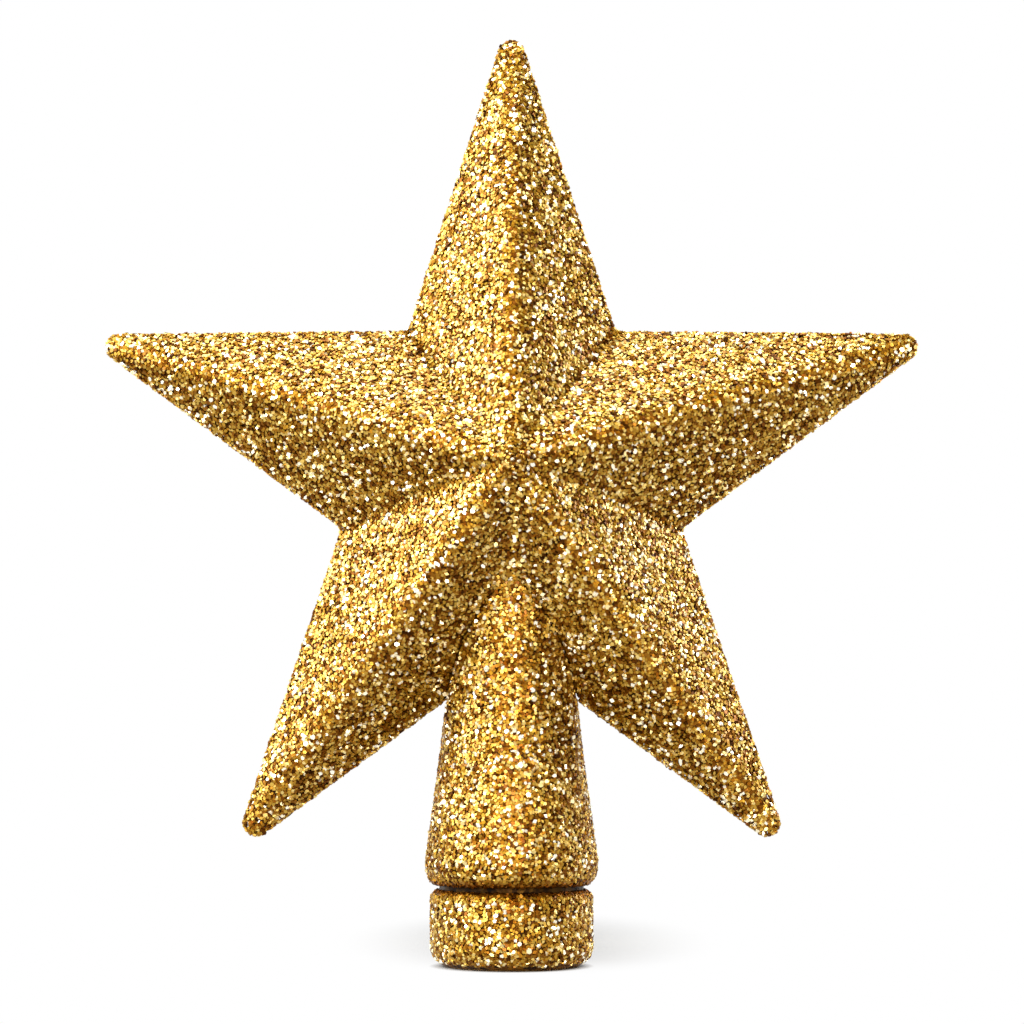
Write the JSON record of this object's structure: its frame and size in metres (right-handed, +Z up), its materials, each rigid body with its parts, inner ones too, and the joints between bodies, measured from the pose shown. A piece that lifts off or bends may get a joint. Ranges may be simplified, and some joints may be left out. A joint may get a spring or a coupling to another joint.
{
  "type": "christmas tree topper star",
  "caption": "Hollow ridged star covered in coarse gold glitter, on a flared neck with an end collar whose socket grips the top shoot of a tree.",
  "frame": {"origin": "middle of the collar's foot, on the surface that the star stands on", "axes": "+Z up through the neck to the top point, -Y out of the front of the star, +X to the right seen from the front"},
  "size_m": [0.176, 0.052, 0.2004],
  "materials": {
    "shell_plastic": "moulded polystyrene under gold lacquer",
    "glitter": "coarse cut metallised film chips in clear glue, gold",
    "cement": "set solvent cement",
    "grip_plastic": "moulded polyethylene, natural"
  },
  "bodies": {
    "root": {"front_shell": "shell_plastic", "rear_shell": "shell_plastic", "seam_cement": "cement", "branch_grip": "grip_plastic", "end_collar": "shell_plastic", "front_glitter_coat": "glitter", "rear_glitter_coat": "glitter", "collar_glitter_coat": "glitter"}
  },
  "joints": []
}
